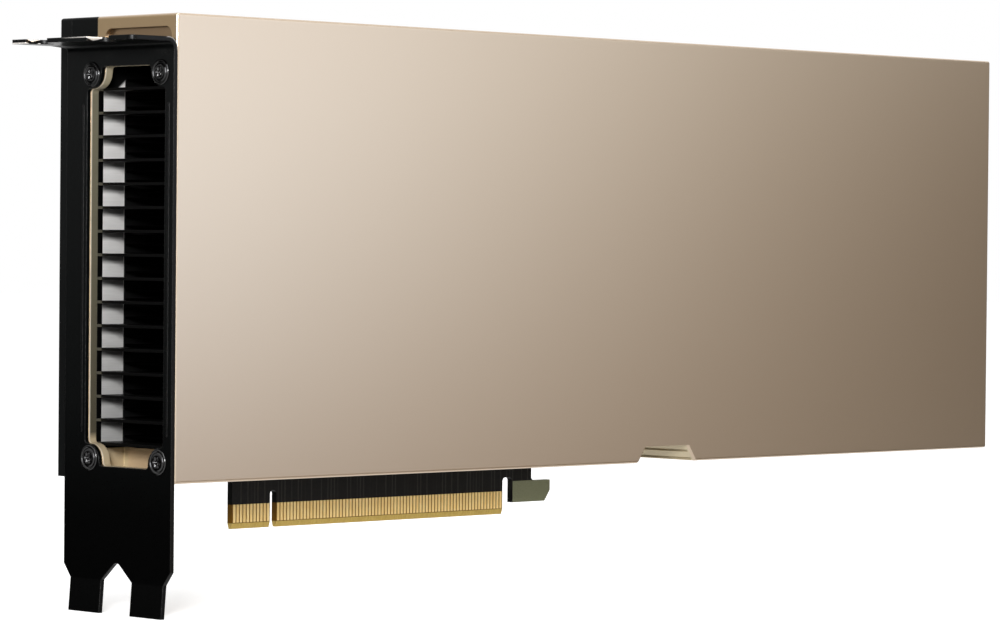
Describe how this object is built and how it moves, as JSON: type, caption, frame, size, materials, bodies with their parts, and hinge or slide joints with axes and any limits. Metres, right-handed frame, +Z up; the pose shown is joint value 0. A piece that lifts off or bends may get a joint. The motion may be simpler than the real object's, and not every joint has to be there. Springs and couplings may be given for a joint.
{
  "type": "passive accelerator card",
  "caption": "Full-height dual-slot passive accelerator card with a flat metal cover, a vented end bracket and a gold edge connector, cooled by air blown through its fins",
  "frame": {"origin": "middle of the key notch at the tips of the edge contacts, in the board's middle plane", "axes": "+X from the bracket to the far end, +Y from the cover to the backplate, +Z up from the contacts to the top"},
  "size_m": [0.2808, 0.0394, 0.126],
  "materials": {
    "gold_metal": "bead-blasted, champagne anodised",
    "black_metal": "black powder coat",
    "bracket_black": "black satin coat on steel",
    "screw_black": "black oxide",
    "grille_black": "black",
    "base_metal": "nickel plated, matt",
    "fin_metal": "dark, mill finish",
    "board_black": "black solder mask",
    "contact_gold": "hard gold",
    "laminate_green": "laminate",
    "silicon": "polished",
    "plain_steel": "stamped",
    "pad_grey": "soft pad",
    "choke_grey": "moulded powder",
    "chip_black": "moulded",
    "can_metal": "drawn",
    "socket_black": "moulded",
    "terminal_tin": "tin plated",
    "film_black": "film"
  },
  "bodies": {
    "root": {"front_cover": "gold_metal", "support_frame": "black_metal", "backplate": "black_metal", "mounting_bracket": "bracket_black", "bracket_screws": "screw_black", "exhaust_grille": "grille_black", "heatsink_base": "base_metal", "heatsink_fins": "fin_metal", "circuit_board": "board_black", "edge_contacts": "contact_gold", "processor_package": "laminate_green", "processor_die": "silicon", "memory_stacks": "silicon", "package_stiffener": "plain_steel", "thermal_interface": "pad_grey", "power_chokes": "choke_grey", "choke_pads": "pad_grey", "power_drivers": "chip_black", "capacitor_cans": "can_metal", "control_chips": "chip_black", "power_socket": "socket_black", "socket_terminals": "terminal_tin", "clamp_spring": "plain_steel", "insulating_film": "film_black", "backplate_screws": "screw_black", "clamp_screws": "screw_black", "cover_screws": "screw_black"}
  },
  "joints": []
}
